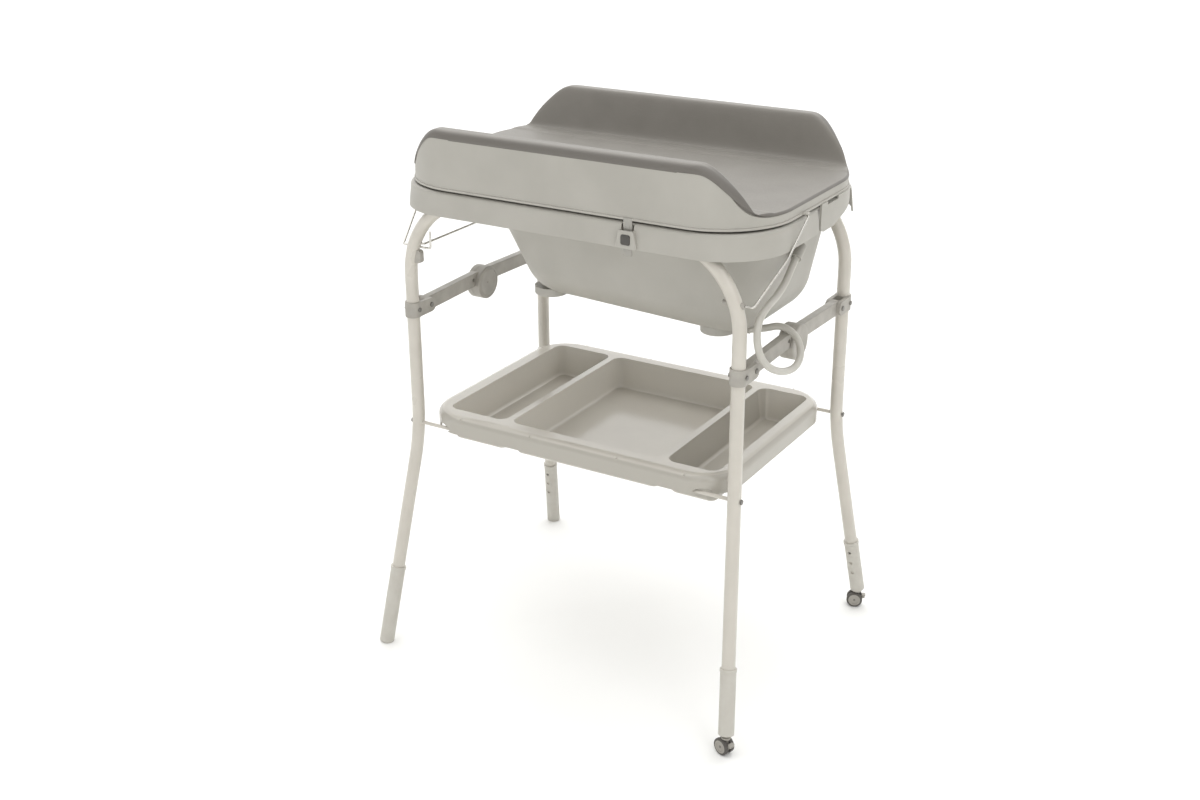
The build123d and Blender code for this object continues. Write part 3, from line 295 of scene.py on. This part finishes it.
slotFinish = {
    "frame_paint": "satinPowderCoat", "steel_rod": "satinPowderCoat",
    "steel_wire": "drawnWire", "screw_steel": "zincPlate",
    "brace_plastic": "mattPolyamide", "caster_plastic": "mattPolyamide",
    "bath_plastic": "mouldedPolypropylene", "tray_plastic": "polishedPolypropylene",
    "dark_plastic": "darkAcetal", "clear_plastic": "clearPolycarbonate",
    "hose_pvc": "softPvc", "pad_foam": "skinnedFoam", "tread_rubber": "treadRubber",
}


def dress(thing, finish):
    thing.data.materials.clear()
    thing.data.materials.append(finishes[finish])


for part in frame["record"]["subparts"]:
    pale = part["node"].startswith("leg_sleeve")
    dress(nodes[part["node"]], "palePolyamide" if pale else slotFinish[part["material_slot"]])
print("finishes made:", len(finishes))

# drain hose

hose = {
    "route": [
        (0.276, -0.036, 0.716), (0.304, -0.037, 0.723), (0.338, -0.038, 0.737),
        (0.372, -0.043, 0.724), (0.390, -0.060, 0.698), (0.394, -0.094, 0.684),
        (0.391, -0.134, 0.689), (0.387, -0.174, 0.705), (0.382, -0.209, 0.731),
        (0.377, -0.224, 0.768), (0.371, -0.208, 0.802), (0.368, -0.165, 0.816),
        (0.366, -0.128, 0.820), (0.365, -0.090, 0.834), (0.3635, -0.056, 0.860),
        (0.361, -0.020, 0.881)],
    "radius": 0.0065,
    "length": 0.577,
    "order": 3, "steps": 12, "sides": 7,              # smoothness of the curve and its tube
}


def makeHose(s):
    curve = bpy.data.curves.new("drainHose", "CURVE")
    curve.dimensions = "3D"
    spline = curve.splines.new("NURBS")
    spline.points.add(len(s["route"]) - 1)
    for point, place in zip(spline.points, s["route"]):
        point.co = (*place, 1.0)
    spline.order_u = s["order"]
    spline.use_endpoint_u = True
    curve.resolution_u = s["steps"]
    curve.bevel_depth = s["radius"]
    curve.bevel_resolution = s["sides"]
    curve.use_fill_caps = True
    piece = addObject("drainHose", curve)
    dress(piece, "softPvc")
    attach(piece, "bath")
    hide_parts("drain_hose")


makeHose(hose)
print("hose made")

# changing pad

pad = {
    "halfX": 0.382, "halfY": 0.247, "corner": 0.139,
    "floor": 0.9624, "flat": 0.9794,                  # underside, and the top of the flat
    # height of the rolls and of the wall below them, falling towards both ends
    "crestTop": 1.062, "crestEnd": 0.985, "crestFrom": 0.263, "crestTo": 0.380,
    "wallTop": 1.0484, "wallEnd": 0.9714, "wallFrom": 0.2684, "wallTo": 0.3764,
    "wallInset": 0.0038,
    "rollWidth": 0.034, "rollFoot": 0.052, "footRound": 0.020,
    "crestLift": 0.0015, "crestRound": 0.016,         # makes up for what the rounding takes off
    "lipRound": 0.013, "lipLeast": 0.0012, "lipShare": 0.86,
    "stripWidth": 0.032, "stripStep": 0.0025, "stripEdge": 0.006,  # border at each roll's foot
    "dish": 0.002, "dishX": 0.33, "dishY": 0.15,      # sag of the flat, and how far it reaches
    "rows": 92, "columns": 120, "crowding": 0.65,     # crowding brings them towards the edges
    "fill": 0.9,
}


def ease(t):  # smooth step from 0 to 1
    t = max(0.0, min(1.0, t))
    return t * t * (3 - 2 * t)


def softMin(a, b, blend):
    h = max(0.0, min(1.0, 0.5 + 0.5 * (b - a) / blend))
    return b * (1 - h) + a * h - blend * h * (1 - h)


def softMax(a, b, blend):
    return -softMin(-a, -b, blend)


def fallAlong(x, start, end, high, low):
    return high + (low - high) * ease((abs(x) - start) / (end - start))


def edgeDistance(x, y, s):  # how far inside the rounded outline
    dx = abs(x) - (s["halfX"] - s["corner"])
    dy = abs(y) - (s["halfY"] - s["corner"])
    outside = math.hypot(max(dx, 0), max(dy, 0)) + min(max(dx, dy), 0)
    return max(0.0, s["corner"] - outside)


def padWall(x, s):
    return fallAlong(x, s["wallFrom"], s["wallTo"], s["wallTop"], s["wallEnd"])


def padTop(x, y, s):
    inner = s["halfY"] - s["rollWidth"]
    foot = s["halfY"] - s["rollFoot"]
    ay = abs(y)
    slope = (s["crestTop"] - s["flat"]) / (inner - foot)
    rise = s["flat"] + slope * (ay - foot)
    crest = fallAlong(x, s["crestFrom"], s["crestTo"], s["crestTop"], s["crestEnd"])
    strip = s["stripStep"] * ease((foot - s["stripWidth"] - ay) / s["stripEdge"])
    sag = s["dish"] * ease(1 - abs(x) / s["dishX"]) * ease(1 - ay / s["dishY"])
    low = s["flat"] - strip - sag
    roll = softMax(low, rise, s["footRound"])
    top = softMin(roll, crest + s["crestLift"], s["crestRound"])
    depth = edgeDistance(x, y, s)
    room = top - padWall(x, s)
    lip = max(s["lipLeast"], min(s["lipRound"], s["lipShare"] * room))
    if depth < lip:
        top -= lip - math.sqrt(max(0.0, lip ** 2 - (lip - depth) ** 2))
    return top


def padUnder(x, y, s):
    if edgeDistance(x, y, s) < s["wallInset"]:
        return padWall(x, s)
    return s["floor"]


def crowd(t, s):  # from -1 to 1 either way
    return (1 - s["crowding"]) * t + s["crowding"] * math.sin(t * math.pi / 2)


def makePad(s):
    bm = bmesh.new()
    bmesh.ops.create_grid(bm, x_segments=s["columns"], y_segments=s["rows"], size=1)
    for v in bm.verts:  # each row ends on the outline
        y = crowd(v.co.y, s) * s["halfY"]
        over = max(0.0, abs(y) - (s["halfY"] - s["corner"]))
        reach = s["halfX"] - s["corner"] + math.sqrt(max(0.0, s["corner"] ** 2 - over ** 2))
        v.co = (crowd(v.co.x, s) * reach, y, 0)
    under = list(bm.verts)
    grown = bmesh.ops.extrude_face_region(bm, geom=list(bm.faces))["geom"]
    top = [e for e in grown if isinstance(e, bmesh.types.BMVert)]
    for v in top:
        v.co.z = padTop(v.co.x, v.co.y, s)
    for v in under:
        v.co.z = padUnder(v.co.x, v.co.y, s)
    bmesh.ops.recalc_face_normals(bm, faces=bm.faces)
    for f in bm.faces:
        f.smooth = True
    mesh = bpy.data.meshes.new("foamPad")
    bm.to_mesh(mesh)
    bm.free()
    piece = addObject("foamPad", mesh)
    rounder = piece.modifiers.new("rounder", "SUBSURF")
    rounder.levels = rounder.render_levels = 1
    dress(piece, "skinnedFoam")
    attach(piece, "board")
    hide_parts("pad")


makePad(pad)
print("pad made")

# floor, world and lights

studio = {
    "floor": "F1F1EF", "floorSize": 40, "floorRoughness": 0.85,
    # height of the direction looked in, and how bright the air is there
    "air": [(-1.0, 1.1), (0.0, 1.1), (0.07, 0.36), (0.55, 0.34), (0.80, 1.7), (1.0, 2.1)],
    # where the lit backdrop hangs, how far round it reaches, and its brightness
    "backdrop": (-0.52, 0.85, 0.0), "backdropEdge": (0.1, 0.9), "glow": 1.25,
    "lamps": [  # name, place, aim, width, height, watts
        ("rightLamp", (3.2, -2.0, 2.3), (0, 0, 0.8), 1.6, 2.2, 26),
        ("leftStrip", (-2.3, -2.3, 1.1), (0, 0, 0.6), 0.25, 2.0, 5),
        ("frontStrip", (1.0, -3.4, 1.0), (0, 0, 0.6), 0.25, 2.0, 5),
    ],
}


def makeFloor(s):
    bm = bmesh.new()
    bmesh.ops.create_grid(bm, x_segments=1, y_segments=1, size=s["floorSize"])
    mesh = bpy.data.meshes.new("studioFloor")
    bm.to_mesh(mesh)
    bm.free()
    floor = addObject("studioFloor", mesh)
    paper = startFinish("backdropPaper", {
        "Base Color": hexColour(s["floor"]), "Roughness": s["floorRoughness"]})[0]
    floor.data.materials.append(paper)


def makeWorld(s):
    world = bpy.data.worlds.new("studioAir")
    world.use_nodes = True
    tree = world.node_tree
    air = tree.nodes["Background"]
    air.inputs["Color"].default_value = hexColour("FFFFFF")
    look = addNode(tree, "ShaderNodeTexCoord").outputs["Generated"]
    height = addNode(tree, "ShaderNodeSeparateXYZ", {}, {}, {"Vector": look}).outputs["Z"]
    share = addNode(tree, "ShaderNodeMapRange", {}, {"From Min": -1.0, "From Max": 1.0},
                    {"Value": height}).outputs[0]
    ramp = addNode(tree, "ShaderNodeFloatCurve", {}, {}, {"Value": share})
    curve = ramp.mapping.curves[0]
    brightest = max(strength for _, strength in s["air"])
    while len(curve.points) < len(s["air"]):
        curve.points.new(0.5, 0.5)
    for point, (z, strength) in zip(curve.points, s["air"]):
        point.location = ((z + 1) / 2, strength / brightest)
        point.handle_type = "VECTOR"
    ramp.mapping.update()
    facing = addNode(tree, "ShaderNodeVectorMath", {"operation": "DOT_PRODUCT"},
                     {1: s["backdrop"]}, {0: look})
    start, full = s["backdropEdge"]
    glow = addNode(tree, "ShaderNodeMapRange", {"interpolation_type": "SMOOTHSTEP"},
                   {"From Min": start, "From Max": full, "To Max": s["glow"]},
                   {"Value": facing.outputs["Value"]})
    strength = addNode(tree, "ShaderNodeMath", {"operation": "MULTIPLY_ADD"}, {1: brightest},
                       {0: ramp.outputs[0], 2: glow.outputs[0]})
    tree.links.new(strength.outputs[0], air.inputs["Strength"])
    bpy.context.scene.world = world


def makeLamps(s):
    for name, at, aim, width, height, watts in s["lamps"]:
        data = bpy.data.lights.new(name, "AREA")
        data.shape = "RECTANGLE"
        data.size, data.size_y = width, height
        data.energy = watts
        turnTo(addObject(name, data), at, aim)


makeFloor(studio)
makeWorld(studio)
makeLamps(studio)
bpy.context.scene.view_settings.view_transform = "Standard"
print("studio made")
